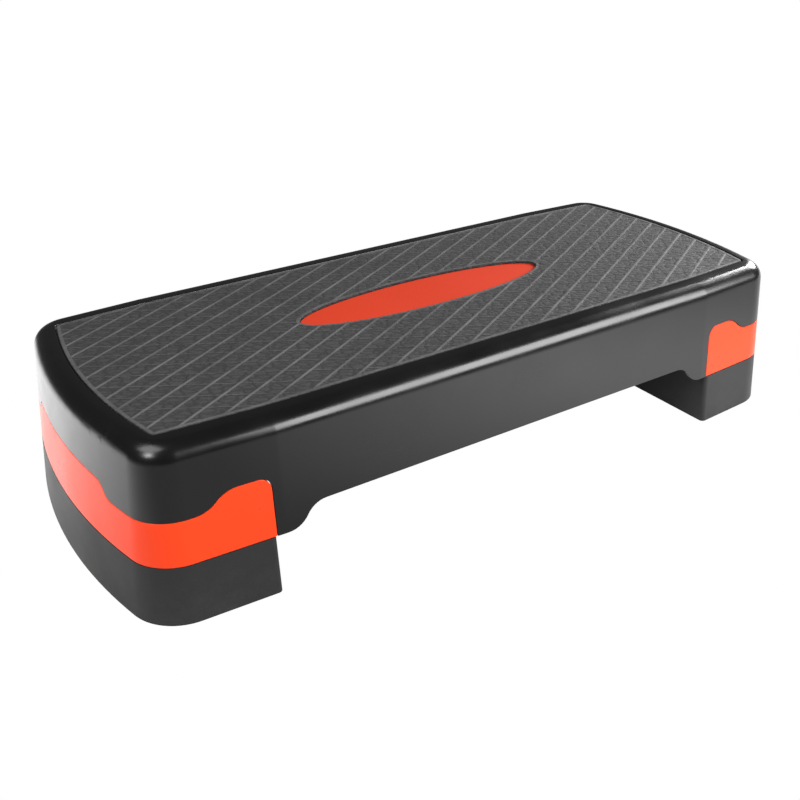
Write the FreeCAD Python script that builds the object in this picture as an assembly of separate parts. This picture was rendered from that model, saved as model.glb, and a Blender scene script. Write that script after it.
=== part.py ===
import FreeCAD, Part
import math
import os
from collections import namedtuple

# Aerobic step platform: a ribbed deck on two legs, each a coloured riser stacked on a dark foot.
# Millimetres, +Z up, X along the length. The origin is on the floor under the middle of the deck.
# Deck, risers and feet are cut from one body that leans out towards the floor, so their walls run flush.

Vector = FreeCAD.Vector
X_AXIS = Vector(1, 0, 0)
Y_AXIS = Vector(0, 1, 0)
Z_AXIS = Vector(0, 0, 1)
ORIGIN = Vector(0, 0, 0)

# Outer body: plan sizes at the top edge, before that edge is rounded
HEIGHT = 144.0
TOP_LENGTH = 677.5
TOP_WIDTH = 274.0
BASE_FLARE = 13.0
END_BULGE = 20.0
CORNER_RADIUS = 30.0
CREASE_RADIUS = 30.0
EDGE_ROUND = 16.0
SIDE_TAPER_DEG = 3.0
LEG_LENGTH = 105.0
CREASE_TO_LEG = 8.0
OVERRUN = 20.0

# Moulded walls and the fits between pieces
WALL = 2.8
SEAM = 0.4
PLUG_GAP = 0.4
PLUG_WALL = 2.6
SHELF = 2.6
RIB = 2.4
RIB_ROOT = 1.0

# Riser band: low at the corners, with a tongue on each long side and a hump across the end
FOOT_HEIGHT = 50.0
BAND_HEIGHT = 36.0
TONGUE_RISE = 14.0
TONGUE_ROUND = 10.0
TONGUE_FLAT = 25.0
TONGUE_LENGTH = 60.0
HUMP_RISE = 11.5
HUMP_TO_CORNER = 48.0
HUMP_SLOPE = 23.0
HUMP_DEPTH = 39.0
RISER_SHELF_DROP = 3.0

# Lower edge of the deck's long walls
SIDE_EDGE_RISE = 18.0
LOBE_FLAT = 10.0
LOBE_SLOPE = 33.0

# Deck plate and the mat let into it
PLATE_THICKNESS = 5.8
CAVITY_WALL_DROP = 17.0
CAVITY_SHOULDER_DROP = 9.5
CAVITY_SHOULDER_INSET = 6.5
CAVITY_TOP_INSET = 14.0
MAT_MARGIN = 21.5
MAT_END_MARGIN = 18.0
MAT_CORNER = 4.0
MAT_GROOVE = 1.2
MAT_THICKNESS = 2.4
MAT_BORDER = 4.0

# Oval inlay in the middle of the mat
OVAL_LENGTH = 260.0
OVAL_WIDTH = 62.0
OVAL_SINK = 2.0
OVAL_THICKNESS = 2.0
OVAL_GAP = 0.4
OVAL_LIP = 3.5

# Raised tread lines that cross the mat on the slant
TREAD_PITCH = 18.2
TREAD_ANGLE_DEG = 29.4
TREAD_RIDGE = 2.4
TREAD_DEPTH = 0.6

# Ribs under the deck: deep between the legs, and shallow over them, where they rest on the risers
DECK_RIB_DROP = 38.0
DECK_RIB_TO_LEG = 22.0
RISER_TOP_DROP = 24.0
DECK_RIB_PITCH_X = 66.0
DECK_RIB_PITCH_Y = 60.0

# Foot and its rubber pads
FOOT_PLUG = 15.0
FOOT_EDGE_ROUND = 4.0
LEG_RIB_TO_INNER = 52.0
PAD_LENGTH = 24.0
PAD_WIDTH = 38.0
PAD_THICKNESS = 4.0
PAD_CORNER = 5.0
PAD_EDGE = 0.8
PAD_STAND = 1.2
PAD_GAP = 0.2
PAD_CUP = 2.6
PAD_TO_INNER = 24.0
PAD_TO_END = 31.0
PAD_TO_SIDE = 32.0

# Places worked out from the sizes above
LEG_INNER_X = TOP_LENGTH / 2 - LEG_LENGTH
CREASE_X = LEG_INNER_X - CREASE_TO_LEG
CORNER_SEAM_Z = FOOT_HEIGHT + BAND_HEIGHT
TONGUE_Z = CORNER_SEAM_Z + TONGUE_RISE
RISER_SHELF_Z = CORNER_SEAM_Z - RISER_SHELF_DROP
RISER_TOP_Z = HEIGHT - RISER_TOP_DROP
FOOT_PLUG_Z = FOOT_HEIGHT + FOOT_PLUG
PLATE_LOW_Z = HEIGHT - PLATE_THICKNESS
PAD_Y = TOP_WIDTH / 2 - PAD_TO_SIDE

# One stretch of the plan outline: a straight run, or a turn in degrees about a centre
Stretch = namedtuple("Stretch", "start outward run centre turn")


def box(x_low, x_high, y_low, y_high, z_low, z_high):
    """Box between two corners."""
    return Part.makeBox(x_high - x_low, y_high - y_low, z_high - z_low, Vector(x_low, y_low, z_low))


def line(start, end):
    """Straight edge."""
    return Part.LineSegment(start, end).toShape()


def fused(shapes):
    """One shape out of many."""
    return shapes[0].multiFuse(shapes[1:])


def mirrored(shape):
    """The same piece at the other end of the step."""
    return shape.mirror(ORIGIN, X_AXIS)


def turned(vector, degrees):
    """Vector turned about the upright axis."""
    angle = math.radians(degrees)
    return Vector(vector.x * math.cos(angle) - vector.y * math.sin(angle),
                  vector.x * math.sin(angle) + vector.y * math.cos(angle), vector.z)


def straight(start, end, outward):
    """Straight stretch of the outline."""
    return Stretch(start, outward, end - start, None, 0.0)


def bend(centre, radius, start_degrees, end_degrees):
    """Round stretch of the outline."""
    outward = turned(X_AXIS, start_degrees)
    return Stretch(centre + outward * radius, outward, None, centre, end_degrees - start_degrees)


def half_turned(stretch):
    """The same stretch on the opposite side of the step."""
    return Stretch(stretch.start * -1, stretch.outward * -1,
                   stretch.run * -1 if stretch.run else None,
                   stretch.centre * -1 if stretch.centre else None, stretch.turn)


def plan(inset, end_inset, corner, crease):
    """Outline counter-clockwise: bowed ends, round corners, and long sides that taper in past a soft crease."""
    half_width = TOP_WIDTH / 2
    end_radius = (half_width ** 2 + END_BULGE ** 2) / (2 * END_BULGE)
    end_centre = X_AXIS * (TOP_LENGTH / 2 - end_radius)
    end_radius -= end_inset
    half_taper = math.tan(math.radians(SIDE_TAPER_DEG) / 2)
    side_degrees = 90 - SIDE_TAPER_DEG
    outward = turned(X_AXIS, side_degrees)
    along = turned(outward, -90)
    kink = Vector(CREASE_X - inset * half_taper, half_width - inset, 0)
    crease_centre = kink - X_AXIS * (crease * half_taper) - Y_AXIS * crease
    taper_start = crease_centre + outward * crease
    # The corner circle touches the tapered side and lies inside the end arc.
    from_end = taper_start - outward * corner - end_centre
    reach = end_radius - corner
    ahead = from_end.dot(along)
    run = -ahead + math.sqrt(ahead ** 2 - from_end.dot(from_end) + reach ** 2)
    corner_centre = end_centre + from_end + along * run
    to_corner = corner_centre - end_centre
    end_degrees = math.degrees(math.atan2(to_corner.y, to_corner.x))

    def across(vector):
        return Vector(-vector.x, vector.y, vector.z)

    half = [
        bend(end_centre, end_radius, -end_degrees, end_degrees),
        bend(corner_centre, corner, end_degrees, side_degrees),
        straight(corner_centre + outward * corner, taper_start, outward),
        bend(crease_centre, crease, side_degrees, 90),
        straight(crease_centre + Y_AXIS * crease, across(crease_centre) + Y_AXIS * crease, Y_AXIS),
        bend(across(crease_centre), crease, 90, 180 - side_degrees),
        straight(across(taper_start), across(corner_centre + outward * corner), across(outward)),
        bend(across(corner_centre), corner, 180 - side_degrees, 180 - end_degrees),
    ]
    return half + [half_turned(stretch) for stretch in half]


OUTER = plan(0, 0, CORNER_RADIUS, CREASE_RADIUS)


def outline(stretches, inset, z):
    """Closed wire along the outline, offset inwards, at height z."""
    edges = []
    for s in stretches:
        start = s.start - s.outward * inset + Z_AXIS * z
        if s.run:
            edges.append(line(start, start + s.run))
            continue
        centre = s.centre + Z_AXIS * z
        spoke = start - centre
        ends = [centre + turned(spoke, s.turn * share) for share in (1 / 2, 1)]
        edges.append(Part.Arc(start, *ends).toShape())
    return Part.Wire(edges)


def swept(profile):
    """Solid swept round the outline. profile runs upwards in lines and arcs through (inset, height) points."""
    faces = []
    for s in OUTER:
        for points in profile:
            placed = [s.start - s.outward * inset + Z_AXIS * z for inset, z in points]
            edge = line(*placed) if len(placed) == 2 else Part.Arc(*placed).toShape()
            faces.append(edge.extrude(s.run) if s.run else edge.revolve(s.centre, Z_AXIS, s.turn))
    for inset, z in (profile[0][0], profile[-1][-1]):
        faces.append(Part.Face(outline(OUTER, inset, z)))
    shell = Part.makeShell(faces)
    shell.sewShape()
    solid = Part.makeSolid(shell)
    return solid if solid.Volume > 0 else solid.reversed()


def wall_inset(z):
    """Offset of the leaning outer wall from the plan outline, at height z."""
    return -BASE_FLARE * (HEIGHT - z) / HEIGHT


def body(*levels):
    """Solid through levels (height, inset from the outer wall), straight from one to the next."""
    points = [(wall_inset(z) + inset, z) for z, inset in levels]
    return swept(list(zip(points, points[1:])))


def beyond(x):
    """Half space past the plane at x, towards the +X end."""
    return box(x, 2 * TOP_LENGTH, -TOP_WIDTH, TOP_WIDTH, -HEIGHT, 2 * HEIGHT)


def s_curve(start, end):
    """Two equal arcs from start to end, level at both ends."""
    rise = end.z - start.z
    level = Vector(end.x - start.x, end.y - start.y, 0)
    radius = (level.Length ** 2 + rise ** 2) / (4 * abs(rise))
    half_turn = math.atan2(abs(rise), level.Length)
    bow = Vector(level).normalize() * (radius * math.sin(half_turn))
    bow += Z_AXIS * math.copysign(radius * (1 - math.cos(half_turn)), rise)
    middle = (start + end) / 2
    return [Part.Arc(start, start + bow, middle).toShape(), Part.Arc(middle, end - bow, end).toShape()]


def hill(foot_left, flat_left, flat_right, foot_right, low, direction):
    """Prism with a flat-topped hill for its profile: an S-curve up, a level stretch and an S-curve down."""
    base_left = Vector(foot_left.x, foot_left.y, low)
    base_right = Vector(foot_right.x, foot_right.y, low)
    edges = [
        line(base_left, foot_left),
        *s_curve(foot_left, flat_left),
        line(flat_left, flat_right),
        *s_curve(flat_right, foot_right),
        line(foot_right, base_right),
        line(base_right, base_left),
    ]
    return Part.Face(Part.Wire(edges)).extrude(direction)


def tongue(grow):
    """Riser's side tongue, pushed through both long walls. grow is the clearance round it."""
    y = -TOP_WIDTH
    low = CORNER_SEAM_Z - OVERRUN
    high = TONGUE_Z + grow
    inner = LEG_INNER_X - grow
    round_centre = Vector(inner + TONGUE_ROUND, y, high - TONGUE_ROUND)
    round_start = round_centre - X_AXIS * TONGUE_ROUND
    round_middle = round_centre + (Z_AXIS - X_AXIS).normalize() * TONGUE_ROUND
    round_end = round_centre + Z_AXIS * TONGUE_ROUND
    flat_end = Vector(LEG_INNER_X + TONGUE_FLAT + grow, y, high)
    foot = Vector(LEG_INNER_X + TONGUE_LENGTH + grow, y, CORNER_SEAM_Z + grow)
    edges = [
        line(Vector(inner, y, low), round_start),
        Part.Arc(round_start, round_middle, round_end).toShape(),
        line(round_end, flat_end),
        *s_curve(flat_end, foot),
        line(foot, Vector(foot.x, y, low)),
        line(Vector(foot.x, y, low), Vector(inner, y, low)),
    ]
    return Part.Face(Part.Wire(edges)).extrude(Y_AXIS * (2 * TOP_WIDTH))


def hump(grow):
    """Riser's raised middle across the end wall. grow is the clearance round it."""
    x = TOP_LENGTH / 2 - HUMP_DEPTH
    z = CORNER_SEAM_Z + grow
    foot_y = TOP_WIDTH / 2 - HUMP_TO_CORNER + grow
    flat_y = foot_y - HUMP_SLOPE
    feet = [Vector(x, y, z) for y in (-foot_y, foot_y)]
    flats = [Vector(x, y, z + HUMP_RISE) for y in (-flat_y, flat_y)]
    return hill(feet[0], flats[0], flats[1], feet[1], CORNER_SEAM_Z - OVERRUN, X_AXIS * TOP_LENGTH)


def riser_space(grow):
    """Space that the riser's skirt takes at the +X end, grown by a clearance."""
    block = box(LEG_INNER_X - grow, 2 * TOP_LENGTH, -TOP_WIDTH, TOP_WIDTH,
                FOOT_HEIGHT - OVERRUN, CORNER_SEAM_Z + grow)
    return fused([block, tongue(grow), hump(grow)])


def side_edge_space():
    """Space below the raised lower edge of the deck's long walls."""
    foot_x = LEG_INNER_X - LOBE_FLAT
    flat_x = foot_x - LOBE_SLOPE
    edge_z = FOOT_HEIGHT + SIDE_EDGE_RISE
    feet = [Vector(x, -TOP_WIDTH, FOOT_HEIGHT) for x in (-foot_x, foot_x)]
    flats = [Vector(x, -TOP_WIDTH, edge_z) for x in (-flat_x, flat_x)]
    return hill(feet[0], flats[0], flats[1], feet[1], FOOT_HEIGHT - OVERRUN, Y_AXIS * (2 * TOP_WIDTH))


def oval(z, height, grow):
    """Upright elliptical solid in the middle of the deck."""
    edge = Part.Ellipse(Z_AXIS * z, OVAL_LENGTH / 2 + grow, OVAL_WIDTH / 2 + grow).toShape()
    return Part.Face(Part.Wire([edge])).extrude(Z_AXIS * height)


def mat_block(z, height, inset):
    """Upright solid of the mat's recess, or of a smaller outline inset from it."""
    stretches = plan(MAT_MARGIN + inset, MAT_END_MARGIN + inset, MAT_CORNER, CREASE_RADIUS)
    return Part.Face(outline(stretches, 0, z)).extrude(Z_AXIS * height)


def places(pitch, half_span):
    """Evenly pitched places from the middle out to both sides."""
    count = int(half_span // pitch)
    return [pitch * n for n in range(-count, count + 1)]


def deck_outer():
    """Outside of the deck: leaning walls and a rounded top edge."""
    lean = math.atan2(BASE_FLARE, HEIGHT)
    tangent = EDGE_ROUND / math.tan((math.pi / 2 + lean) / 2)
    wall_end = (-tangent * math.sin(lean), HEIGHT - tangent * math.cos(lean))
    top_start = (tangent, HEIGHT)
    middle_angle = (math.pi / 2 + lean) / 2
    middle = (tangent - EDGE_ROUND * math.cos(middle_angle),
              HEIGHT - EDGE_ROUND * (1 - math.sin(middle_angle)))
    foot = (wall_inset(FOOT_HEIGHT), FOOT_HEIGHT)
    return swept([(foot, wall_end), (wall_end, middle, top_start)])


def deck_cavity(wall, lift):
    """Hollow under the deck plate. lift raises its top into the plate."""
    return body((FOOT_HEIGHT - OVERRUN, wall),
                (HEIGHT - CAVITY_WALL_DROP, wall),
                (HEIGHT - CAVITY_SHOULDER_DROP, CAVITY_SHOULDER_INSET),
                (PLATE_LOW_Z + lift, CAVITY_TOP_INSET))


def deck_ribs():
    """Crossed stiffening ribs under the deck plate, shallower over the legs, where they rest on the risers."""
    high = PLATE_LOW_Z + RIB_ROOT
    deep_low = HEIGHT - DECK_RIB_DROP
    deep_x = LEG_INNER_X - DECK_RIB_TO_LEG
    ribs = []
    for x in places(DECK_RIB_PITCH_X, TOP_LENGTH / 2 - CAVITY_TOP_INSET):
        low = deep_low if abs(x) < deep_x else RISER_TOP_Z
        ribs.append(box(x - RIB / 2, x + RIB / 2, -TOP_WIDTH, TOP_WIDTH, low, high))
    for y in places(DECK_RIB_PITCH_Y, TOP_WIDTH / 2 - CAVITY_TOP_INSET):
        ribs.append(box(-TOP_LENGTH, TOP_LENGTH, y - RIB / 2, y + RIB / 2, RISER_TOP_Z, high))
        ribs.append(box(-deep_x, deep_x, y - RIB / 2, y + RIB / 2, deep_low, high))
    return fused(ribs)


def deck_shell():
    """Deck moulding: rounded shell with a mat recess on top, ribs below and notches for the risers."""
    shell = deck_outer().cut(deck_cavity(WALL, 0))
    shell = shell.cut(mat_block(HEIGHT - MAT_THICKNESS, OVERRUN, 0))
    shell = shell.cut(oval(HEIGHT - OVAL_SINK - OVAL_THICKNESS, OVERRUN, OVAL_GAP))
    shell = shell.fuse(deck_ribs().common(deck_cavity(WALL - RIB_ROOT, RIB_ROOT)))
    notch = riser_space(SEAM)
    shell = shell.cut(fused([notch, mirrored(notch), side_edge_space()]))
    return shell.removeSplitter()


def tread_strips():
    """Lowered strips between the raised tread lines, cut short at the border and round the oval."""
    reach = TOP_LENGTH
    lines = round(reach / TREAD_PITCH / 2)
    ridges = []
    for number in range(-lines, lines):
        y = (number + 1 / 2) * TREAD_PITCH
        ridge = box(-reach, reach, y - TREAD_RIDGE / 2, y + TREAD_RIDGE / 2,
                    HEIGHT - OVERRUN, HEIGHT + OVERRUN)
        ridge.rotate(ORIGIN, Z_AXIS, TREAD_ANGLE_DEG)
        ridges.append(ridge)
    strips = mat_block(HEIGHT - TREAD_DEPTH, OVERRUN, MAT_GROOVE + MAT_BORDER)
    strips = strips.cut(oval(HEIGHT - OVERRUN, 2 * OVERRUN, OVAL_GAP + OVAL_LIP))
    return strips.cut(Part.makeCompound(ridges))


def deck_mat():
    """Tread mat in the deck's recess, with an oval window and raised tread lines."""
    low = HEIGHT - MAT_THICKNESS
    mat = mat_block(low, MAT_THICKNESS, MAT_GROOVE)
    mat = mat.cut(oval(low - OVERRUN, 2 * OVERRUN, OVAL_GAP))
    return mat.cut(tread_strips())


def oval_inlay():
    """Coloured oval plate sunk in the middle of the mat."""
    return oval(HEIGHT - OVAL_SINK - OVAL_THICKNESS, OVAL_THICKNESS, 0)


def leg_block(z_low, z_high, inset):
    """Stretch of the leaning body past the leg's inner face, inset on every side."""
    return body((z_low, inset), (z_high, inset)).common(beyond(LEG_INNER_X + inset))


def leg_ribs(z_low, z_high, inset):
    """Ribs along and across one leg, cut to the leg's hollow. The outermost ones pass over the pads."""
    ribs = [box(LEG_INNER_X, TOP_LENGTH, y - RIB / 2, y + RIB / 2, z_low, z_high)
            for y in (-PAD_Y, 0, PAD_Y)]
    x = LEG_INNER_X + LEG_RIB_TO_INNER
    ribs.append(box(x - RIB / 2, x + RIB / 2, -TOP_WIDTH, TOP_WIDTH, z_low, z_high))
    return fused(ribs).common(leg_block(z_low, z_high, inset))


def riser():
    """Riser at the +X end: a skirt flush with the deck, a plug inside the deck and a shelf between."""
    plug_inset = WALL + PLUG_GAP
    tray_inset = plug_inset + PLUG_WALL
    skirt = leg_block(FOOT_HEIGHT, TONGUE_Z + OVERRUN, 0).common(riser_space(0))
    solid = skirt.fuse(leg_block(FOOT_HEIGHT, RISER_TOP_Z, plug_inset))
    solid = solid.cut(leg_block(RISER_SHELF_Z, RISER_TOP_Z + OVERRUN, tray_inset))
    solid = solid.cut(leg_block(FOOT_HEIGHT - OVERRUN, RISER_SHELF_Z - SHELF, WALL))
    upper_ribs = leg_ribs(RISER_SHELF_Z - RIB_ROOT, RISER_TOP_Z, tray_inset - RIB_ROOT)
    lower_ribs = leg_ribs(FOOT_PLUG_Z, RISER_SHELF_Z - RIB_ROOT, WALL - RIB_ROOT)
    return fused([solid, upper_ribs, lower_ribs]).removeSplitter()


def pad_places():
    """Centres of the pads under the foot at the +X end, each with its name."""
    inner_x = LEG_INNER_X + PAD_TO_INNER
    outer_x = TOP_LENGTH / 2 - PAD_TO_END
    return {
        f"{row}_{side}": Vector(x, y, 0)
        for row, y in (("front", -PAD_Y), ("rear", PAD_Y))
        for side, x in (("inner", inner_x), ("outer", outer_x))
    }


def pad_block(centre, z, height, grow):
    """Upright block of the pad's outline, a rectangle with its corners cut off."""
    half_x = PAD_LENGTH / 2 + grow
    half_y = PAD_WIDTH / 2 + grow
    cut_x = half_x - PAD_CORNER
    cut_y = half_y - PAD_CORNER
    quarter = [(half_x, cut_y), (cut_x, half_y)]
    corners = quarter + [(-x, y) for x, y in reversed(quarter)]
    corners += [(-x, -y) for x, y in corners]
    points = [centre + Vector(x, y, z) for x, y in corners]
    return Part.Face(Part.makePolygon(points + points[:1])).extrude(Z_AXIS * height)


def foot():
    """Foot at the +X end: hollow skirt with ribs and pad cups, and a plug that enters the riser."""
    skirt_top = FOOT_HEIGHT - SEAM
    shelf_low = skirt_top - SHELF
    plug_inset = WALL + PLUG_GAP
    block = leg_block(PAD_STAND, skirt_top, 0)
    uprights = [e for e in block.Edges
                if all(math.isclose(v.X, LEG_INNER_X, abs_tol=PAD_GAP) for v in e.Vertexes)
                and abs(e.Vertexes[0].Z - e.Vertexes[-1].Z) > FOOT_HEIGHT / 2]
    block = block.makeFillet(FOOT_EDGE_ROUND, uprights)
    solid = block.fuse(leg_block(shelf_low, FOOT_PLUG_Z, plug_inset))
    solid = solid.cut(leg_block(skirt_top, FOOT_PLUG_Z + OVERRUN, plug_inset + PLUG_WALL))
    solid = solid.cut(leg_block(PAD_STAND - OVERRUN, shelf_low, WALL))
    ribs = leg_ribs(PAD_STAND + RIB_ROOT, shelf_low + RIB_ROOT, WALL - RIB_ROOT)
    centres = pad_places().values()
    cup_height = PAD_THICKNESS + PAD_CUP - PAD_STAND
    cups = [pad_block(p, PAD_STAND, cup_height, PAD_GAP + PAD_CUP) for p in centres]
    seats = [pad_block(p, 0, PAD_THICKNESS, PAD_GAP) for p in centres]
    return fused([solid, ribs, *cups]).cut(fused(seats)).removeSplitter()


def pad(place):
    """Rubber pad with an eased lower edge, standing a little proud of the foot."""
    block = pad_block(place, 0, PAD_THICKNESS, 0)
    lower = [e for e in block.Edges if all(math.isclose(v.Z, 0, abs_tol=PAD_GAP) for v in e.Vertexes)]
    return block.makeChamfer(PAD_EDGE, lower)


def main():
    os.makedirs("parts", exist_ok=True)
    pieces = {"deck_shell": deck_shell(), "deck_mat": deck_mat(), "oval_inlay": oval_inlay()}
    end_pieces = {"riser": riser(), "foot": foot()}
    for name, place in pad_places().items():
        end_pieces[f"{name}_pad"] = pad(place)
    for name, shape in end_pieces.items():
        pieces[f"right_{name}"] = shape
        pieces[f"left_{name}"] = mirrored(shape)
    for name, shape in pieces.items():
        print(f"{name}: {len(shape.Solids)} solid, valid {shape.isValid()}, {shape.Volume / 1000:.1f} cm3")
        shape.Solids[0].exportStep(f"parts/{name}.step")


main()
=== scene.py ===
import math

import bmesh
import bpy
from bpy.props import FloatProperty, FloatVectorProperty, PointerProperty
from mathutils import Matrix, Vector


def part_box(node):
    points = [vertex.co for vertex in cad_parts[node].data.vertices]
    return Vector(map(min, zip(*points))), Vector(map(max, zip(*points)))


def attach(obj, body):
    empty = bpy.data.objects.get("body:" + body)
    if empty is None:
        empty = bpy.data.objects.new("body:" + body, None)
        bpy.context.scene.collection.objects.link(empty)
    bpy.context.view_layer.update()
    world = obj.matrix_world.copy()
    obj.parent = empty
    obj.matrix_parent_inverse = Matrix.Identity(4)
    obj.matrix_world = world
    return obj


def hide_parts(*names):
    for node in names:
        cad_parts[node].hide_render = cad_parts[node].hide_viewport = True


bl_info = {
    "name": "Aerobic step platform",
    "version": (1, 0, 0),
    "blender": (4, 5, 0),
    "location": "View3D > Sidebar > Step",
    "description": "Finishes the packed step platform: deck, tread mat, inlay, risers, feet and pads",
    "category": "Object",
}

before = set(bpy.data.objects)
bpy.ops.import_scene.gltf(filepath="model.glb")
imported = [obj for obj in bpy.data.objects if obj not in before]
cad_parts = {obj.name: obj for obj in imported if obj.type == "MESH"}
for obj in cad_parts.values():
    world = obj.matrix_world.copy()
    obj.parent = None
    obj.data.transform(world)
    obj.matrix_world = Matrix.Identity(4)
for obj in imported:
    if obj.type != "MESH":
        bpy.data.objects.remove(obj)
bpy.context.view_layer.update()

SIDES = ("left", "right")
PAD_PLACES = ("front_inner", "front_outer", "rear_inner", "rear_outer")
MERGE_DISTANCE = 2e-6
# Angles between two faces: below the first they are one plane, above the second the shading breaks, and
# above the third the edge is rounded.
FLAT_ANGLE = math.radians(0.3)
SMOOTH_ANGLE = math.radians(32)
SHARP_ANGLE = math.radians(40)
# Least share of a level face's normal that points up or down, and most of an outer wall's.
FACE_WAY = 0.95
WALL_LEAN = 0.3
# Heights that differ by less, in metres, are one level.
LEVEL = 2e-5
# Marks on faces while a piece is made: the strip round a field, and the field.
STRIP_MARK = 1
FIELD_MARK = 2

RIM_SEGMENTS = 3
EDGE_SEGMENTS = 2
PAD_CORNER_SEGMENTS = 5
OVAL_POINTS = 128
# Steps from the inlay's edge to its middle: share of the width that is kept, and share of the rise.
CROWN_STEPS = ((0.75, 0.5), (0.65, 0.3), (0.5, 0.2))
# Cuts between the grip cells of a pad: direction across the cut, and offset as a share of the pad's depth.
GRIP_CUTS = (((0, 1, 0), -0.25), ((0, 1, 0), 0.0), ((0, 1, 0), 0.25), ((1, 0, 0), 0.0))

PLASTIC_IOR = 1.49
MOTTLE_DARK = 0.86
MOTTLE_LIGHT = 1.14
SCUFF_ROUGHNESS = 0.25
DUST_ROUGHNESS = 0.3
DUST_TONE = (150, 146, 140)

FLOOR_SIZE = 14
FLOOR_ROUGHNESS = 0.9
# Soft patches where the floor itself glows, painted light beside the lamps: x, y, radius and strength.
FLOOR_PATCHES = ((-0.6, 0.33, 0.62, 2.6), (0.26, -0.46, 0.46, 2.25))
ROOM_TONE = (0.11, 0.11, 0.11, 1)
WHITE = (1, 1, 1, 1)
# Lights: name, place, aim, width and height in metres, and power in watts.
LIGHTS = (
    ("Front softbox", (1.3, -1.75, 1.2), (0, 0, 0.1), (1.8, 1.1), 92.0),
    ("Top softbox", (-1.2, -0.1, 1.9), (-0.1, 0, 0.1), (1.3, 1.2), 29.0),
    ("Right softbox", (2.1, 0.45, 0.95), (0.1, 0, 0.1), (0.6, 0.6), 60.0),
    ("Left lamp", (-1.5, -0.6, 1.15), (-0.3, -0.1, 0.12), (0.4, 0.4), 13.0),
)


def linear(red, green, blue):
    """Linear colour from the 0 to 255 values that a screen shows."""
    def channel(value):
        share = value / 255
        return share / 12.92 if share <= 0.04045 else ((share + 0.055) / 1.055) ** 2.4
    return (channel(red), channel(green), channel(blue))


def length(name, description, millimetres):
    """Size property in metres."""
    return FloatProperty(name=name, description=description, default=millimetres / 1000, unit="LENGTH",
                         subtype="DISTANCE", precision=5)


def colour(name, description, red, green, blue):
    """Colour property from screen values."""
    return FloatVectorProperty(name=name, description=description, default=linear(red, green, blue),
                               subtype="COLOR", size=3, min=0, max=1)


class StepSizes(bpy.types.PropertyGroup):
    """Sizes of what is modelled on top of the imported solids."""

    wall_edge: length("Wall edge", "Rounding of the moulded edges along the seams", 0.7)
    rim_edge: length("Recess edge", "Rounding of the rim above the mat's recess", 0.9)
    tread_pitch: length("Tread pitch", "Distance between tread lines, square to them", 18.2)
    tread_angle: FloatProperty(name="Tread angle", description="Slant of the tread lines to the length",
                               default=math.radians(29.4), subtype="ANGLE")
    ridge_top: length("Ridge top", "Flat top of a main tread line", 2.1)
    ridge_side: length("Ridge side", "Sloping side of a tread line", 0.5)
    ridge_height: length("Ridge height", "Height of the main tread lines over the mat", 0.6)
    cross_top: length("Cross top", "Flat top of a cross tread line", 0.7)
    cross_height: length("Cross height", "Height of the cross tread lines over the mat", 0.42)
    mat_border: length("Mat border", "Plain strip along the mat's edges", 3.0)
    border_drop: length("Border drop", "Depth of the plain strip below the tread lines", 0.12)
    mat_edge: length("Mat edge", "Rounding of the mat's outer edges", 0.6)
    inlay_edge: length("Inlay edge", "Rounding of the inlay's top edge", 0.9)
    inlay_crown: length("Inlay crown", "Rise of the inlay's middle over its edge", 0.8)
    pad_corner: length("Pad corner", "Corner radius of a pad", 5.0)
    pad_edge: length("Pad edge", "Rounding of a pad's lower edge", 0.8)
    pad_groove: length("Pad groove", "Depth of the grip cells under a pad", 0.7)
    pad_rib: length("Pad rib", "Width of the ribs between the grip cells", 1.2)


class StepColours(bpy.types.PropertyGroup):
    """Colours of the finishes."""

    deck_black: colour("Deck black", "Moulded plastic of the deck", 9, 9, 9)
    mat_grey: colour("Mat grey", "Tread mat", 48, 48, 49)
    # Lighter than the mat, partly as wear and partly as a painted highlight where the tread lines catch the
    # light.
    ridge_wear_and_highlight_grey: colour("Ridge grey", "Rubbed tops of the tread lines", 86, 86, 87)
    inlay_orange: colour("Inlay orange", "Oval plate", 172, 46, 20)
    riser_orange: colour("Riser orange", "Moulded plastic of the risers", 236, 64, 24)
    foot_black: colour("Foot black", "Moulded plastic of the feet", 40, 40, 40)
    pad_black: colour("Pad black", "Rubber of the pads", 24, 24, 25)
    floor: colour("Floor", "Plain pale floor", 160, 160, 160)


class StepStudio(bpy.types.PropertyGroup):
    """Where the camera stands and looks."""

    azimuth: FloatProperty(name="Azimuth", description="Turn of the view about the upright axis",
                           default=math.radians(-33.71), subtype="ANGLE")
    elevation: FloatProperty(name="Elevation", description="Height of the view over the floor",
                             default=math.radians(28.55), subtype="ANGLE")
    distance: length("Distance", "Camera to target", 921.93)
    target: FloatVectorProperty(name="Target", description="Point in the middle of the picture",
                                default=(-0.03605, -0.01195, 0.04515), subtype="TRANSLATION", unit="LENGTH")
    lens: FloatProperty(name="Lens", description="Focal length", default=44.03, unit="CAMERA")


def select_only(piece):
    """Makes one object the only selected and active one."""
    bpy.ops.object.select_all(action="DESELECT")
    piece.select_set(True)
    bpy.context.view_layer.objects.active = piece


def edit(piece, mode="FACE"):
    """Opens a piece in edit mode with nothing selected."""
    select_only(piece)
    bpy.ops.object.mode_set(mode="EDIT")
    bpy.ops.mesh.select_mode(type=mode)
    bpy.ops.mesh.select_all(action="DESELECT")


def leave_edit():
    """Back to object mode."""
    bpy.ops.object.mode_set(mode="OBJECT")


def pick(piece, kind, test):
    """In edit mode, selects only the faces or edges that pass a test. Returns how many."""
    bpy.ops.mesh.select_all(action="DESELECT")
    shape = bmesh.from_edit_mesh(piece.data)
    shape.normal_update()
    chosen = [item for item in getattr(shape, kind) if test(item)]
    for item in chosen:
        item.select_set(True)
    bmesh.update_edit_mesh(piece.data)
    return len(chosen)


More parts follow.
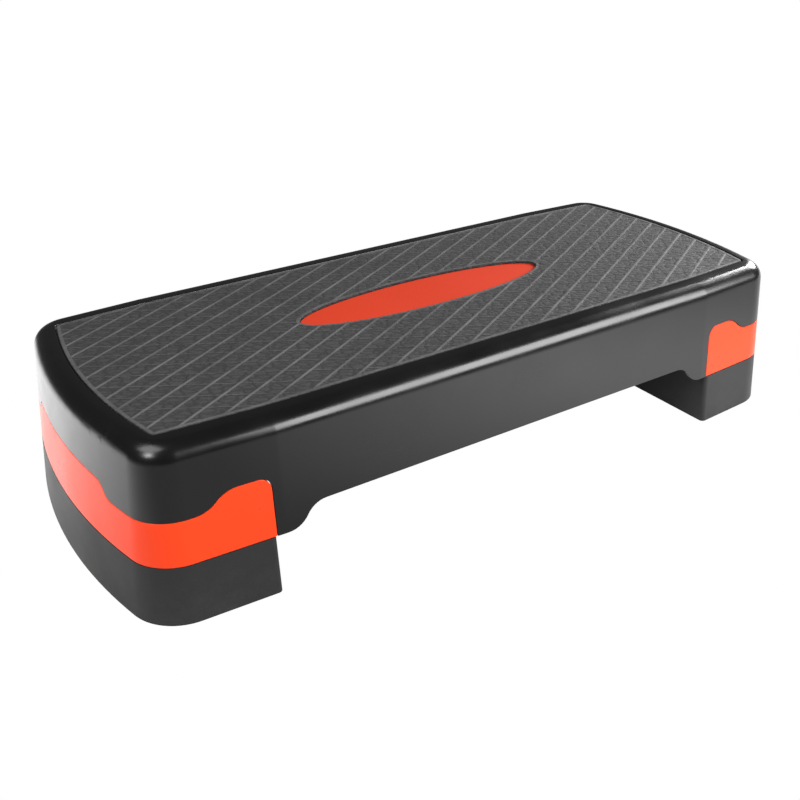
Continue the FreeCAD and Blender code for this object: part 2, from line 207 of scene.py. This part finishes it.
def node_copy(node, name):
    """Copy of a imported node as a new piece, with its doubles merged and its flat faces made whole."""
    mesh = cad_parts[node].data.copy()
    mesh.name = name
    mesh.materials.clear()
    piece = bpy.data.objects.new(name, mesh)
    bpy.context.scene.collection.objects.link(piece)
    edit(piece)
    bpy.ops.mesh.select_all(action="SELECT")
    bpy.ops.mesh.remove_doubles(threshold=MERGE_DISTANCE)
    bpy.ops.mesh.dissolve_limited(angle_limit=FLAT_ANGLE)
    leave_edit()
    return piece


def is_sharp(edge):
    """Whether two faces meet in a corner that points outwards."""
    return len(edge.link_faces) == 2 and edge.is_convex and edge.calc_face_angle() > SHARP_ANGLE


def faces_out(face):
    """Whether a face is upright, or leans a little, and points away from the middle of the step."""
    return abs(face.normal.z) < WALL_LEAN and face.normal.xy.dot(face.calc_center_median().xy) > 0


def round_wall_edges(piece, offset):
    """Rounds the edges along the outer walls of a moulding."""
    edit(piece, "EDGE")
    found = pick(piece, "edges", lambda edge: is_sharp(edge)
                 and any(faces_out(face) for face in edge.link_faces))
    if not found:
        raise RuntimeError(f"{piece.name} has no wall edge")
    bpy.ops.mesh.bevel(offset=offset, segments=EDGE_SEGMENTS, profile=0.5, clamp_overlap=True)
    leave_edit()


def finish(piece, node, body, material):
    """Smooth shading, finish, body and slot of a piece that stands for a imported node."""
    select_only(piece)
    bpy.ops.object.transform_apply(location=True, rotation=True, scale=True)
    bpy.ops.object.shade_smooth_by_angle(angle=SMOOTH_ANGLE)
    weighted = piece.modifiers.new("Even shading", "WEIGHTED_NORMAL")
    weighted.keep_sharp = True
    bpy.ops.object.modifier_apply(modifier=weighted.name)
    piece.data.materials.clear()
    piece.data.materials.append(material)
    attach(piece, body)
    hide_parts(node)


class Nodes:
    """Short way to place and join shader nodes in one tree."""

    def __init__(self, tree):
        self.tree = tree

    def add(self, kind, inputs=None, **options):
        """New node with its options and its inputs: a value, or a socket to join."""
        node = self.tree.nodes.new(kind)
        for name, value in options.items():
            setattr(node, name, value)
        for name, value in (inputs or {}).items():
            if isinstance(value, bpy.types.NodeSocket):
                self.tree.links.new(value, node.inputs[name])
            else:
                node.inputs[name].default_value = value
        return node

    def spread(self, value, low, high, to_low=0.0, to_high=1.0):
        """Value taken from one range to another, with its ends held."""
        node = self.add("ShaderNodeMapRange", {"Value": value, "From Min": low, "From Max": high,
                                               "To Min": to_low, "To Max": to_high})
        return node.outputs["Result"]

    def math(self, operation, first, second):
        """Sum, product or the like of two values."""
        node = self.add("ShaderNodeMath", {0: first, 1: second}, operation=operation)
        return node.outputs["Value"]

    def blend(self, share, first, second):
        """Mix of two colours."""
        node = self.add("ShaderNodeMix", data_type="RGBA")
        for name, value in (("Factor_Float", share), ("A_Color", first), ("B_Color", second)):
            socket = next(s for s in node.inputs if s.identifier == name)
            if isinstance(value, bpy.types.NodeSocket):
                self.tree.links.new(value, socket)
            else:
                socket.default_value = value
        return next(s for s in node.outputs if s.identifier == "Result_Color")


def effect_group(name, inputs, outputs):
    """New shader node group with its sockets. Returns its tree, its input sockets and its output node."""
    tree = bpy.data.node_groups.new(name, "ShaderNodeTree")
    for label, kind in inputs:
        tree.interface.new_socket(name=label, in_out="INPUT", socket_type=kind)
    for label in outputs:
        tree.interface.new_socket(name=label, in_out="OUTPUT", socket_type="NodeSocketFloat")
    start = tree.nodes.new("NodeGroupInput")
    end = tree.nodes.new("NodeGroupOutput")
    return tree, start.outputs, end


def moulded_grain():
    """Group: fine grain of moulded plastic as a height, and the slow drift of its gloss."""
    name = "Moulded grain"
    if name in bpy.data.node_groups:
        return bpy.data.node_groups[name]
    tree, given, end = effect_group(name, (("Vector", "NodeSocketVector"), ("Grain", "NodeSocketFloat"),
                                           ("Drift", "NodeSocketFloat")), ("Height", "Gloss drift"))
    nodes = Nodes(tree)
    pits = nodes.add("ShaderNodeTexVoronoi", {"Vector": given["Vector"], "Scale": given["Grain"]},
                     feature="SMOOTH_F1")
    fine = nodes.add("ShaderNodeTexNoise", {"Vector": given["Vector"], "Scale": given["Grain"],
                                            "Detail": 3.0})
    height = nodes.math("ADD", pits.outputs["Distance"], fine.outputs["Fac"])
    slow = nodes.add("ShaderNodeTexNoise", {"Vector": given["Vector"], "Scale": given["Drift"],
                                            "Detail": 4.0, "Roughness": 0.6})
    drift = nodes.spread(slow.outputs["Fac"], 0.3, 0.7)
    tree.links.new(height, end.inputs["Height"])
    tree.links.new(drift, end.inputs["Gloss drift"])
    return tree


def handling_scuffs():
    """Group: mask of fine scratches that run in two directions, in worn patches."""
    name = "Handling scuffs"
    if name in bpy.data.node_groups:
        return bpy.data.node_groups[name]
    tree, given, end = effect_group(name, (("Vector", "NodeSocketVector"), ("Scale", "NodeSocketFloat"),
                                           ("Amount", "NodeSocketFloat")), ("Mask",))
    nodes = Nodes(tree)
    patches = nodes.add("ShaderNodeTexNoise", {"Vector": given["Vector"], "Scale": 9.0, "Detail": 2.0})
    worn = nodes.spread(patches.outputs["Fac"], 0.48, 0.7)
    scratches = []
    for turn, stretch in ((0.5, 18.0), (-0.9, 26.0)):
        lay = nodes.add("ShaderNodeMapping", {"Vector": given["Vector"], "Rotation": (turn, turn, turn),
                                              "Scale": (1.0, stretch, stretch)})
        noise = nodes.add("ShaderNodeTexNoise", {"Vector": lay.outputs["Vector"], "Scale": given["Scale"],
                                                 "Detail": 1.0})
        scratches.append(nodes.spread(noise.outputs["Fac"], 0.66, 0.74))
    both = nodes.math("MAXIMUM", scratches[0], scratches[1])
    mask = nodes.math("MULTIPLY", nodes.math("MULTIPLY", both, worn), given["Amount"])
    tree.links.new(mask, end.inputs["Mask"])
    return tree


def floor_dust():
    """Group: mask of dust that thins out with the height over the floor."""
    name = "Floor dust"
    if name in bpy.data.node_groups:
        return bpy.data.node_groups[name]
    tree, given, end = effect_group(name, (("Vector", "NodeSocketVector"), ("Reach", "NodeSocketFloat"),
                                           ("Amount", "NodeSocketFloat")), ("Mask",))
    nodes = Nodes(tree)
    parts = nodes.add("ShaderNodeSeparateXYZ", {"Vector": given["Vector"]})
    near = nodes.math("SUBTRACT", 1.0, nodes.math("DIVIDE", parts.outputs["Z"], given["Reach"]))
    low = nodes.math("MAXIMUM", near, 0.0)
    specks = nodes.add("ShaderNodeTexNoise", {"Vector": given["Vector"], "Scale": 60.0, "Detail": 6.0,
                                              "Roughness": 0.75})
    patchy = nodes.spread(specks.outputs["Fac"], 0.4, 0.75)
    mask = nodes.math("MULTIPLY", nodes.math("MULTIPLY", low, patchy), given["Amount"])
    tree.links.new(mask, end.inputs["Mask"])
    return tree


def new_material(name):
    """Empty material with its tree, an object coordinate and a Principled BSDF."""
    material = bpy.data.materials.new(name)
    material.use_nodes = True
    tree = material.node_tree
    shader = next(node for node in tree.nodes if node.type == "BSDF_PRINCIPLED")
    place = tree.nodes.new("ShaderNodeTexCoord").outputs["Object"]
    return material, Nodes(tree), shader, place


def opaque(rgb):
    """Colour with full alpha."""
    return (*rgb, 1.0)


def shade(rgb, share):
    """The same hue, lighter or darker."""
    return tuple(min(1.0, value * share) for value in rgb)


def plastic(name, rgb, gloss, grain, bump, scuff, dust=0.0, specular=0.5, dust_reach=0.05):
    """Moulded plastic: grain in its normal, drifting gloss, colour mottle, scuffs and floor dust."""
    material, nodes, shader, place = new_material(name)
    skin = nodes.add("ShaderNodeGroup", node_tree=moulded_grain())
    marks = nodes.add("ShaderNodeGroup", node_tree=handling_scuffs())
    dirt = nodes.add("ShaderNodeGroup", node_tree=floor_dust())
    for group, values in ((skin, {"Grain": grain, "Drift": 14.0}), (marks, {"Scale": 55.0, "Amount": scuff}),
                          (dirt, {"Reach": dust_reach, "Amount": dust})):
        nodes.tree.links.new(place, group.inputs["Vector"])
        for label, value in values.items():
            group.inputs[label].default_value = value
    mottle = nodes.add("ShaderNodeTexNoise", {"Vector": place, "Scale": 5.0, "Detail": 3.0})
    tone = nodes.blend(mottle.outputs["Fac"], opaque(shade(rgb, MOTTLE_DARK)),
                       opaque(shade(rgb, MOTTLE_LIGHT)))
    pale = opaque(tuple(0.5 * value + 0.12 for value in rgb))
    rubbed = nodes.blend(marks.outputs["Mask"], tone, pale)
    dusted = nodes.blend(dirt.outputs["Mask"], rubbed, opaque(linear(*DUST_TONE)))
    rough = nodes.spread(skin.outputs["Gloss drift"], 0.0, 1.0, gloss - 0.05, gloss + 0.06)
    rough = nodes.math("ADD", rough, nodes.math("MULTIPLY", marks.outputs["Mask"], SCUFF_ROUGHNESS))
    rough = nodes.math("ADD", rough, nodes.math("MULTIPLY", dirt.outputs["Mask"], DUST_ROUGHNESS))
    relief = nodes.add("ShaderNodeBump", {"Height": skin.outputs["Height"], "Strength": 1.0,
                                          "Distance": bump})
    nodes.tree.links.new(dusted, shader.inputs["Base Color"])
    nodes.tree.links.new(rough, shader.inputs["Roughness"])
    nodes.tree.links.new(relief.outputs["Normal"], shader.inputs["Normal"])
    shader.inputs["Specular IOR Level"].default_value = specular
    shader.inputs["IOR"].default_value = PLASTIC_IOR
    return material


def tread_rubber(name, rgb, ridge_wear_and_highlight_rgb, top_z, ridge_height, slant):
    """Tread mat: leathery skin between the lines, darkened along its wrinkle creases as painted shade. The
    tops of the lines are rubbed smoother, and painted lighter, partly as wear and partly as a painted
    highlight.
    """
    material, nodes, shader, place = new_material(name)
    height = nodes.add("ShaderNodeSeparateXYZ", {"Vector": place}).outputs["Z"]
    crest = nodes.spread(height, top_z - ridge_height * 0.6, top_z)
    wear = nodes.add("ShaderNodeTexNoise", {"Vector": place, "Scale": 30.0, "Detail": 5.0,
                                            "Roughness": 0.65})
    rub = nodes.math("MULTIPLY", crest, nodes.spread(wear.outputs["Fac"], 0.3, 0.65, 0.35, 1.0))
    warp = nodes.add("ShaderNodeTexNoise", {"Vector": place, "Scale": 260.0, "Detail": 2.0})
    bent = nodes.add("ShaderNodeMixRGB", {"Fac": 0.003, "Color1": place, "Color2": warp.outputs["Color"]})
    turned = nodes.add("ShaderNodeMapping", {"Vector": bent.outputs["Color"], "Rotation": (0.0, 0.0, slant)})
    drawn = nodes.add("ShaderNodeMapping", {"Vector": turned.outputs["Vector"], "Scale": (0.5, 1.0, 1.0)})
    cells = nodes.add("ShaderNodeTexVoronoi", {"Vector": drawn.outputs["Vector"], "Scale": 190.0},
                      feature="DISTANCE_TO_EDGE")
    wrinkle = nodes.spread(cells.outputs["Distance"], 0.0, 0.25)
    pores = nodes.add("ShaderNodeTexNoise", {"Vector": place, "Scale": 1500.0, "Detail": 2.0})
    skin = nodes.math("ADD", wrinkle, nodes.math("MULTIPLY", pores.outputs["Fac"], 0.4))
    skin = nodes.math("MULTIPLY", skin, nodes.spread(rub, 0.0, 1.0, 1.0, 0.3))
    mottle = nodes.add("ShaderNodeTexNoise", {"Vector": place, "Scale": 7.0, "Detail": 5.0,
                                              "Roughness": 0.6})
    tone = nodes.blend(mottle.outputs["Fac"], opaque(shade(rgb, 0.8)), opaque(shade(rgb, 1.2)))
    # Painted shade: the mat's colour is darkened along its wrinkle creases.
    seams = nodes.blend(wrinkle, opaque(shade(rgb, 0.6)), tone)
    # The tops of the lines take the lighter ridge colour: partly wear, partly a painted highlight.
    worn = nodes.blend(rub, seams, opaque(ridge_wear_and_highlight_rgb))
    rough = nodes.spread(wear.outputs["Fac"], 0.3, 0.7, 0.62, 0.78)
    rough = nodes.math("SUBTRACT", rough, nodes.math("MULTIPLY", rub, 0.12))
    relief = nodes.add("ShaderNodeBump", {"Height": skin, "Strength": 0.8, "Distance": 0.0005})
    nodes.tree.links.new(worn, shader.inputs["Base Color"])
    nodes.tree.links.new(rough, shader.inputs["Roughness"])
    nodes.tree.links.new(relief.outputs["Normal"], shader.inputs["Normal"])
    shader.inputs["Specular IOR Level"].default_value = 0.35
    return material


class TreadLines:
    """One family of parallel tread lines, evenly pitched on both sides of the middle."""

    def __init__(self, slant, pitch, top, side):
        self.across = Vector((-math.sin(slant), math.cos(slant), 0))
        self.pitch = pitch
        self.top_half = top / 2
        self.foot_half = top / 2 + side

    def cuts(self, reach):
        """Offsets of the four edges of every line, from the foot of one side to that of the other."""
        count = math.ceil(reach / self.pitch)
        middles = [(number + 0.5) * self.pitch for number in range(-count, count)]
        edges = (-self.foot_half, -self.top_half, self.top_half, self.foot_half)
        return [middle + edge for middle in middles for edge in edges]

    def distance(self, face):
        """From a face's middle to the nearest line's middle."""
        offset = self.across.dot(face.calc_center_median()) / self.pitch
        return abs(offset - math.floor(offset) - 0.5) * self.pitch

    def clear_of(self, face):
        """Whether a face lies beyond the feet of these lines."""
        return self.distance(face) > self.foot_half

    def on_top(self, face):
        """Whether a face lies on the flat top of a line."""
        return self.distance(face) < self.top_half


def mark_selected(piece, mark):
    """Gives the selected faces a material index to find them by."""
    shape = bmesh.from_edit_mesh(piece.data)
    for face in shape.faces:
        if face.select:
            face.material_index = mark
    bmesh.update_edit_mesh(piece.data)


class STEP_OT_deck(bpy.types.Operator):
    """Deck moulding with rounded edges along its seams and round the mat's recess"""

    bl_idname = "step_platform.deck"
    bl_label = "Deck"

    def execute(self, context):
        sizes = context.scene.step_sizes
        colours = context.scene.step_colours
        top_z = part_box("deck_shell")[1].z
        piece = node_copy("deck_shell", "deck_moulding")
        edit(piece, "EDGE")
        found = pick(piece, "edges", lambda edge: is_sharp(edge)
                     and all(abs(vert.co.z - top_z) < LEVEL for vert in edge.verts))
        if not found:
            raise RuntimeError("the deck has no recess edge")
        bpy.ops.mesh.bevel(offset=sizes.rim_edge, segments=RIM_SEGMENTS, profile=0.5, clamp_overlap=True)
        leave_edit()
        round_wall_edges(piece, sizes.wall_edge)
        finish(piece, "deck_shell", "deck",
               plastic("Deck plastic", colours.deck_black, gloss=0.23, grain=900.0, bump=0.00001, scuff=0.03,
                       specular=0.42))
        return {"FINISHED"}


class STEP_OT_mat(bpy.types.Operator):
    """Tread mat with crossed raised lines, a border strip and an oval window"""

    bl_idname = "step_platform.mat"
    bl_label = "Tread mat"

    def execute(self, context):
        sizes = context.scene.step_sizes
        colours = context.scene.step_colours
        low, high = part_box("deck_mat")
        piece = node_copy("deck_mat", "tread_mat")
        edit(piece)
        pick(piece, "faces", lambda face: face.normal.z > -FACE_WAY)
        bpy.ops.mesh.delete(type="FACE")
        bpy.ops.mesh.select_all(action="SELECT")
        bpy.ops.mesh.extrude_region_move(TRANSFORM_OT_translate={"value": (0, 0, high.z - low.z)})
        bpy.ops.mesh.select_all(action="SELECT")
        bpy.ops.mesh.normals_make_consistent(inside=False)
        pick(piece, "faces", lambda face: face.normal.z > FACE_WAY)
        bpy.ops.transform.translate(value=(0, 0, -sizes.border_drop))
        bpy.ops.mesh.inset(thickness=sizes.mat_border, use_even_offset=True)
        mark_selected(piece, STRIP_MARK)
        bpy.ops.mesh.inset(thickness=sizes.ridge_side, depth=sizes.border_drop, use_even_offset=True)
        mark_selected(piece, FIELD_MARK)
        main = TreadLines(sizes.tread_angle, sizes.tread_pitch, sizes.ridge_top, sizes.ridge_side)
        cross = TreadLines(-sizes.tread_angle, sizes.tread_pitch, sizes.cross_top, sizes.ridge_side)
        for lines in (main, cross):
            self.cut(piece, lines, math.hypot(high.x, high.y))
        pick(piece, "faces", lambda face: face.material_index > 0)
        bpy.ops.mesh.dissolve_limited(angle_limit=FLAT_ANGLE, delimit={"SHARP", "MATERIAL"})
        self.sink(piece, sizes.ridge_height,
                  lambda face: main.clear_of(face) and cross.clear_of(face))
        self.sink(piece, sizes.ridge_height - sizes.cross_height,
                  lambda face: main.clear_of(face) and cross.on_top(face))
        self.round_edges(piece, sizes, high)
        leave_edit()
        finish(piece, "deck_mat", "deck",
               tread_rubber("Tread rubber", colours.mat_grey, colours.ridge_wear_and_highlight_grey, high.z, sizes.ridge_height,
                            sizes.tread_angle))
        return {"FINISHED"}

    def cut(self, piece, lines, reach):
        """Cuts the field and the strip round it along the sides of one family of tread lines."""
        for offset in lines.cuts(reach):
            pick(piece, "faces", lambda face: face.material_index > 0)
            bpy.ops.mesh.bisect(plane_co=lines.across * offset, plane_no=lines.across, use_fill=False)
            bpy.ops.mesh.mark_sharp()

    def sink(self, piece, depth, test):
        """Lowers the faces of the field that pass a test. The faces beside them become slopes."""
        pick(piece, "faces", lambda face: face.material_index == FIELD_MARK and test(face))
        bpy.ops.transform.translate(value=(0, 0, -depth))

    def round_edges(self, piece, sizes, high):
        """Rounds the mat's upper edges at its outline and round the oval window."""
        bpy.ops.mesh.select_all(action="SELECT")
        bpy.ops.mesh.mark_sharp(clear=True)
        bpy.ops.mesh.select_mode(type="EDGE")
        pick(piece, "edges", lambda edge: is_sharp(edge)
             and all(vert.co.z > high.z - sizes.border_drop - LEVEL for vert in edge.verts)
             and any(abs(face.normal.z) < 1 - FACE_WAY for face in edge.link_faces))
        bpy.ops.mesh.bevel(offset=sizes.mat_edge, segments=EDGE_SEGMENTS, profile=0.5, clamp_overlap=True)


class STEP_OT_inlay(bpy.types.Operator):
    """Oval plate with a rounded edge and a slight crown"""

    bl_idname = "step_platform.inlay"
    bl_label = "Oval inlay"

    def execute(self, context):
        sizes = context.scene.step_sizes
        colours = context.scene.step_colours
        low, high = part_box("oval_inlay")
        middle = (low + high) / 2
        half = (high - low) / 2
        bpy.ops.object.select_all(action="DESELECT")
        bpy.ops.mesh.primitive_circle_add(vertices=OVAL_POINTS, radius=1, fill_type="NGON",
                                          location=(middle.x, middle.y, low.z))
        piece = context.active_object
        piece.name = "oval_plate"
        bpy.ops.transform.resize(value=(half.x, half.y, 1))
        bpy.ops.object.transform_apply(location=True, rotation=True, scale=True)
        edit(piece)
        bpy.ops.mesh.select_all(action="SELECT")
        bpy.ops.mesh.extrude_region_move(
            TRANSFORM_OT_translate={"value": (0, 0, high.z - low.z - sizes.inlay_crown)})
        bpy.ops.mesh.inset(thickness=sizes.inlay_edge / 3, depth=sizes.inlay_edge / 3, use_even_offset=True)
        bpy.ops.mesh.inset(thickness=sizes.inlay_edge, depth=sizes.inlay_edge / 6, use_even_offset=True)
        rest = sizes.inlay_crown - sizes.inlay_edge / 2
        for width_share, rise_share in CROWN_STEPS:
            bpy.ops.mesh.extrude_region_move(TRANSFORM_OT_translate={"value": (0, 0, rest * rise_share)})
            bpy.ops.transform.resize(value=(width_share, width_share, 1))
        bpy.ops.mesh.select_all(action="SELECT")
        bpy.ops.mesh.normals_make_consistent(inside=False)
        leave_edit()
        finish(piece, "oval_inlay", "deck",
               plastic("Inlay plastic", colours.inlay_orange, gloss=0.68, grain=1100.0, bump=0.00004,
                       scuff=0.1, specular=0.16))
        return {"FINISHED"}


class STEP_OT_risers(bpy.types.Operator):
    """Coloured risers between the deck and the feet"""

    bl_idname = "step_platform.risers"
    bl_label = "Risers"

    def execute(self, context):
        sizes = context.scene.step_sizes
        colours = context.scene.step_colours
        material = plastic("Riser plastic", colours.riser_orange, gloss=0.3, grain=900.0, bump=0.00002,
                           scuff=0.02, specular=0.17)
        for side in SIDES:
            piece = node_copy(f"{side}_riser", f"{side}_riser_moulding")
            round_wall_edges(piece, sizes.wall_edge)
            finish(piece, f"{side}_riser", f"{side}_riser", material)
        return {"FINISHED"}


class STEP_OT_feet(bpy.types.Operator):
    """Dark feet under the risers"""

    bl_idname = "step_platform.feet"
    bl_label = "Feet"

    def execute(self, context):
        sizes = context.scene.step_sizes
        colours = context.scene.step_colours
        material = plastic("Foot plastic", colours.foot_black, gloss=0.5, grain=700.0, bump=0.00004,
                           scuff=0.05, dust=0.04, specular=0.22)
        for side in SIDES:
            piece = node_copy(f"{side}_foot", f"{side}_foot_moulding")
            round_wall_edges(piece, sizes.wall_edge)
            finish(piece, f"{side}_foot", f"{side}_foot", material)
        return {"FINISHED"}


class STEP_OT_pads(bpy.types.Operator):
    """Rubber pads under the feet, with grip cells on their undersides"""

    bl_idname = "step_platform.pads"
    bl_label = "Pads"

    def execute(self, context):
        sizes = context.scene.step_sizes
        colours = context.scene.step_colours
        material = plastic("Pad rubber", colours.pad_black, gloss=0.75, grain=600.0, bump=0.0001, scuff=0.3,
                           dust=0.5, dust_reach=0.006)
        first = f"{SIDES[0]}_{PAD_PLACES[0]}_pad"
        model = self.model_pad(context, sizes, first)
        for side in SIDES:
            for place in PAD_PLACES:
                node = f"{side}_{place}_pad"
                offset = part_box(node)[0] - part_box(first)[0]
                mesh = model.data.copy()
                mesh.transform(Matrix.Translation(offset))
                piece = bpy.data.objects.new(f"{node}_rubber", mesh)
                context.scene.collection.objects.link(piece)
                finish(piece, node, f"{side}_foot", material)
        bpy.data.objects.remove(model)
        return {"FINISHED"}

    def model_pad(self, context, sizes, node):
        """One pad at its place: round corners, an eased lower edge and sunk cells underneath."""
        low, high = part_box(node)
        bpy.ops.object.select_all(action="DESELECT")
        bpy.ops.mesh.primitive_cube_add(size=1, location=(low + high) / 2, scale=high - low)
        piece = context.active_object
        bpy.ops.object.transform_apply(location=True, rotation=True, scale=True)
        edit(piece, "EDGE")
        pick(piece, "edges", lambda edge: abs(edge.verts[0].co.z - edge.verts[1].co.z) > LEVEL)
        bpy.ops.mesh.bevel(offset=sizes.pad_corner, segments=PAD_CORNER_SEGMENTS, profile=0.5)
        pick(piece, "edges", lambda edge: all(vert.co.z < low.z + LEVEL for vert in edge.verts))
        bpy.ops.mesh.bevel(offset=sizes.pad_edge, segments=EDGE_SEGMENTS, profile=0.5)
        bpy.ops.mesh.select_mode(type="FACE")
        pick(piece, "faces", lambda face: face.normal.z < -FACE_WAY)
        bpy.ops.mesh.inset(thickness=sizes.pad_rib, use_even_offset=True)
        mark_selected(piece, FIELD_MARK)
        middle = (low + high) / 2
        for across, share in GRIP_CUTS:
            pick(piece, "faces", lambda face: face.material_index == FIELD_MARK)
            bpy.ops.mesh.bisect(plane_co=middle + Vector(across) * (high.y - low.y) * share, plane_no=across)
        pick(piece, "faces", lambda face: face.material_index == FIELD_MARK)
        bpy.ops.mesh.inset(thickness=sizes.pad_rib / 2, depth=-sizes.pad_groove, use_even_offset=True,
                           use_individual=True)
        leave_edit()
        return piece


class STEP_OT_stage(bpy.types.Operator):
    """Pale floor, soft studio lights and the camera"""

    bl_idname = "step_platform.stage"
    bl_label = "Stage"

    def execute(self, context):
        colours = context.scene.step_colours
        studio = context.scene.step_studio
        bpy.ops.object.select_all(action="DESELECT")
        bpy.ops.mesh.primitive_plane_add(size=FLOOR_SIZE)
        floor = context.active_object
        floor.name = "studio_floor"
        # Light falls on the floor and bounces off it. It is hidden from the camera, which sees the white
        # room there, so that pieces that are pulled down stay in view.
        floor.visible_camera = False
        floor.visible_shadow = False
        floor.data.materials.append(self.floor_material(colours))
        self.light_room(context)
        self.place_camera(context, studio)
        return {"FINISHED"}

    def floor_material(self, colours):
        """Plain pale floor that glows in two soft painted patches of light."""
        material, nodes, shader, place = new_material("Studio floor")
        cloud = nodes.add("ShaderNodeTexNoise", {"Vector": place, "Scale": 3.0})
        tone = nodes.blend(cloud.outputs["Fac"], opaque(shade(colours.floor, 0.98)), opaque(colours.floor))
        lit = 0.0
        for x, y, radius, strength in FLOOR_PATCHES:
            patch = nodes.add("ShaderNodeMapping", {"Vector": place,
                                                    "Location": (-x / radius, -y / radius, 0.0),
                                                    "Scale": (1 / radius, 1 / radius, 1 / radius)})
            glow = nodes.add("ShaderNodeTexGradient", {"Vector": patch.outputs["Vector"]},
                             gradient_type="SPHERICAL")
            lit = nodes.math("MAXIMUM", lit, nodes.math("MULTIPLY", glow.outputs["Fac"], strength))
        nodes.tree.links.new(tone, shader.inputs["Base Color"])
        # The floor gives off light in these patches, though it is no lamp.
        nodes.tree.links.new(lit, shader.inputs["Emission Strength"])
        shader.inputs["Emission Color"].default_value = WHITE
        shader.inputs["Roughness"].default_value = FLOOR_ROUGHNESS
        return material

    def light_room(self, context):
        """Dim surroundings that the camera sees white, and soft lights of several sizes."""
        world = bpy.data.worlds.new("Studio")
        world.use_nodes = True
        nodes = Nodes(world.node_tree)
        back = next(node for node in world.node_tree.nodes if node.type == "BACKGROUND")
        seen = nodes.add("ShaderNodeLightPath").outputs["Is Camera Ray"]
        tone = nodes.blend(seen, ROOM_TONE, WHITE)
        world.node_tree.links.new(tone, back.inputs["Color"])
        context.scene.world = world
        for name, place, aim, size, power in LIGHTS:
            self.soft_light(context, name, Vector(place), Vector(aim), size, power)
        context.scene.view_settings.view_transform = "Standard"

    def soft_light(self, context, name, place, aim, size, power):
        """Rectangular area light that faces its aim."""
        bpy.ops.object.select_all(action="DESELECT")
        bpy.ops.object.light_add(type="AREA", location=place,
                                 rotation=(aim - place).to_track_quat("-Z", "Y").to_euler())
        light = context.active_object
        light.name = name
        light.data.shape = "RECTANGLE"
        light.data.size, light.data.size_y = size
        light.data.energy = power

    def place_camera(self, context, studio):
        """Camera at the photograph's angle, looking at its middle."""
        way = Vector((math.sin(studio.azimuth) * math.cos(studio.elevation),
                      -math.cos(studio.azimuth) * math.cos(studio.elevation),
                      math.sin(studio.elevation)))
        target = Vector(studio.target)
        bpy.ops.object.select_all(action="DESELECT")
        bpy.ops.object.camera_add(location=target + way * studio.distance,
                                  rotation=(-way).to_track_quat("-Z", "Y").to_euler())
        camera = context.active_object
        camera.data.lens = studio.lens
        context.scene.camera = camera


class STEP_PT_panel(bpy.types.Panel):
    """Sidebar panel with the sizes, colours and steps"""

    bl_idname = "STEP_PT_panel"
    bl_label = "Step platform"
    bl_space_type = "VIEW_3D"
    bl_region_type = "UI"
    bl_category = "Step"

    def draw(self, context):
        layout = self.layout
        scene = context.scene
        for group in (scene.step_sizes, scene.step_colours, scene.step_studio):
            box = layout.box()
            for name in group.__annotations__:
                box.prop(group, name)
        for operator in OPERATORS:
            layout.operator(operator.bl_idname)


GROUPS = (StepSizes, StepColours, StepStudio)
OPERATORS = (STEP_OT_deck, STEP_OT_mat, STEP_OT_inlay, STEP_OT_risers, STEP_OT_feet, STEP_OT_pads,
             STEP_OT_stage)


def register():
    """Registers the classes and gives the scene its settings."""
    for item in (*GROUPS, *OPERATORS, STEP_PT_panel):
        bpy.utils.register_class(item)
    bpy.types.Scene.step_sizes = PointerProperty(type=StepSizes)
    bpy.types.Scene.step_colours = PointerProperty(type=StepColours)
    bpy.types.Scene.step_studio = PointerProperty(type=StepStudio)


def unregister():
    """Takes the settings and the classes away again."""
    del bpy.types.Scene.step_studio
    del bpy.types.Scene.step_colours
    del bpy.types.Scene.step_sizes
    for item in reversed((*GROUPS, *OPERATORS, STEP_PT_panel)):
        bpy.utils.unregister_class(item)


def main():
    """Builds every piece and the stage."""
    register()
    bpy.ops.step_platform.deck()
    bpy.ops.step_platform.mat()
    bpy.ops.step_platform.inlay()
    bpy.ops.step_platform.risers()
    bpy.ops.step_platform.feet()
    bpy.ops.step_platform.pads()
    bpy.ops.step_platform.stage()
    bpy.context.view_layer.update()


if __name__ == "__main__":
    main()
